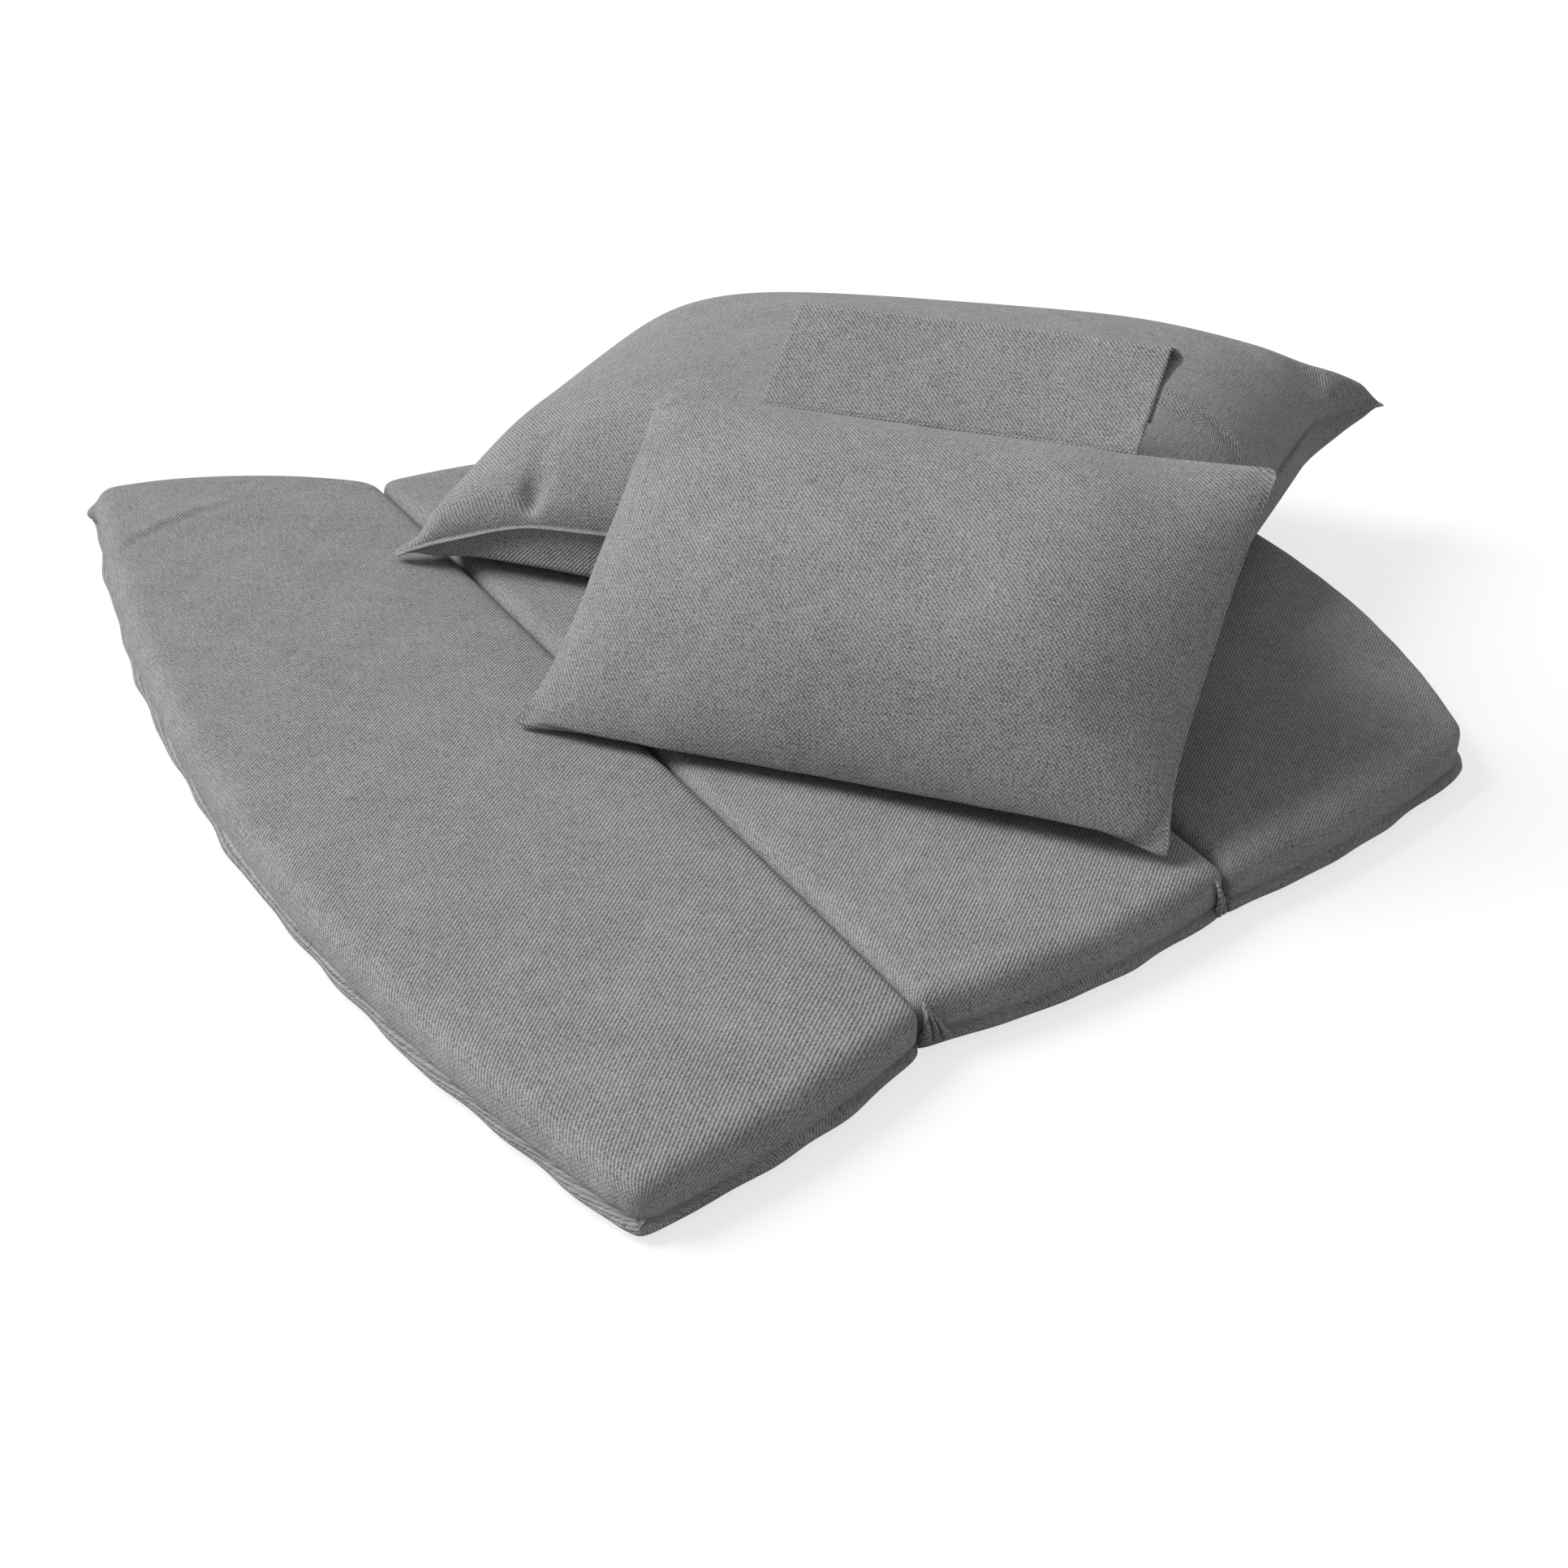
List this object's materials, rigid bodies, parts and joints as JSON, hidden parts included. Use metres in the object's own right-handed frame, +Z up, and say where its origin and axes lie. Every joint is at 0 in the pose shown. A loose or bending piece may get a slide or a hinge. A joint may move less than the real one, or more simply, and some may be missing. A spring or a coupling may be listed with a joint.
{
  "type": "garden lounge chair cushion set",
  "caption": "Grey woven cushion set for a garden lounge chair: a fan-shaped folding foam pad, a large back pillow lying on it and a neck pillow with a hang-over flap.",
  "frame": {"origin": "middle of the centre panel's underside, on the surface that the pad lies on", "axes": "+Z up, +X across the panels from the wide end of the fan to its narrow end, +Y along the fold seams, away from the picture's camera"},
  "size_m": [0.9461, 1.0091, 0.2568],
  "materials": {
    "grey_cloth": "heathered mid grey woven outdoor cloth, matt",
    "base_cloth": "the same grey cloth on the underside, matt",
    "foam": "cream polyurethane foam, open cell",
    "fibre_fill": "white fibre-filled inner pillow in thin spun cloth",
    "zip_tape": "dark grey woven zip tape with coil teeth",
    "zip_slider": "dark lacquered cast slider, satin"
  },
  "bodies": {
    "centre_panel": {"centre_panel_base_cover": "base_cloth", "centre_panel_foam": "foam", "centre_panel_top_cover": "grey_cloth", "narrow_fold_seam": "grey_cloth", "wide_fold_seam": "grey_cloth"},
    "wide_wing": {"wide_panel_base_cover": "base_cloth", "wide_panel_foam": "foam", "wide_panel_top_cover": "grey_cloth"},
    "narrow_wing": {"narrow_panel_base_cover": "base_cloth", "narrow_panel_foam": "foam", "narrow_panel_top_cover": "grey_cloth"},
    "back_pillow": {"back_pillow_filling": "fibre_fill", "back_pillow_lower_cover": "grey_cloth", "back_pillow_upper_cover": "grey_cloth", "back_pillow_zip_chain": "zip_tape"},
    "back_zip_slider": {"back_pillow_zip_slider": "zip_slider"},
    "neck_pillow": {"neck_pillow_filling": "fibre_fill", "neck_pillow_front_cover": "grey_cloth", "neck_pillow_rear_cover": "grey_cloth", "neck_pillow_zip_chain": "zip_tape", "flap_seam": "grey_cloth"},
    "neck_zip_slider": {"neck_pillow_zip_slider": "zip_slider"},
    "flap": {"hang_flap": "grey_cloth"}
  },
  "joints": [
    {"name": "wide_fold", "type": "hinge", "parent": "centre_panel", "child": "wide_wing", "pos_m": [-0.12, 0, 0], "axis": [0, -1, 0], "range_deg": [0, 110]},
    {"name": "narrow_fold", "type": "hinge", "parent": "centre_panel", "child": "narrow_wing", "pos_m": [0.12, 0, 0], "axis": [0, 1, 0], "range_deg": [0, 110]},
    {"name": "back_pillow_lift", "type": "slide", "parent": "centre_panel", "child": "back_pillow", "axis": [0, 0, 1], "range_m": [0, 0.3]},
    {"name": "back_zip_slide", "type": "slide", "parent": "back_pillow", "child": "back_zip_slider", "axis": [-0.6138, 0.7857, -0.0767], "range_m": [0, 0.329]},
    {"name": "neck_pillow_lift", "type": "slide", "parent": "back_pillow", "child": "neck_pillow", "axis": [0, 0, 1], "range_m": [0, 0.3]},
    {"name": "neck_zip_slide", "type": "slide", "parent": "neck_pillow", "child": "neck_zip_slider", "axis": [-0.6153, 0.7875, -0.0349], "range_m": [0, 0.229]},
    {"name": "flap_swing", "type": "hinge", "parent": "neck_pillow", "child": "flap", "pos_m": [0.10517, -0.03983, 0.20539], "axis": [0.6153, -0.7875, 0.0349], "range_deg": [-30, 90]}
  ]
}
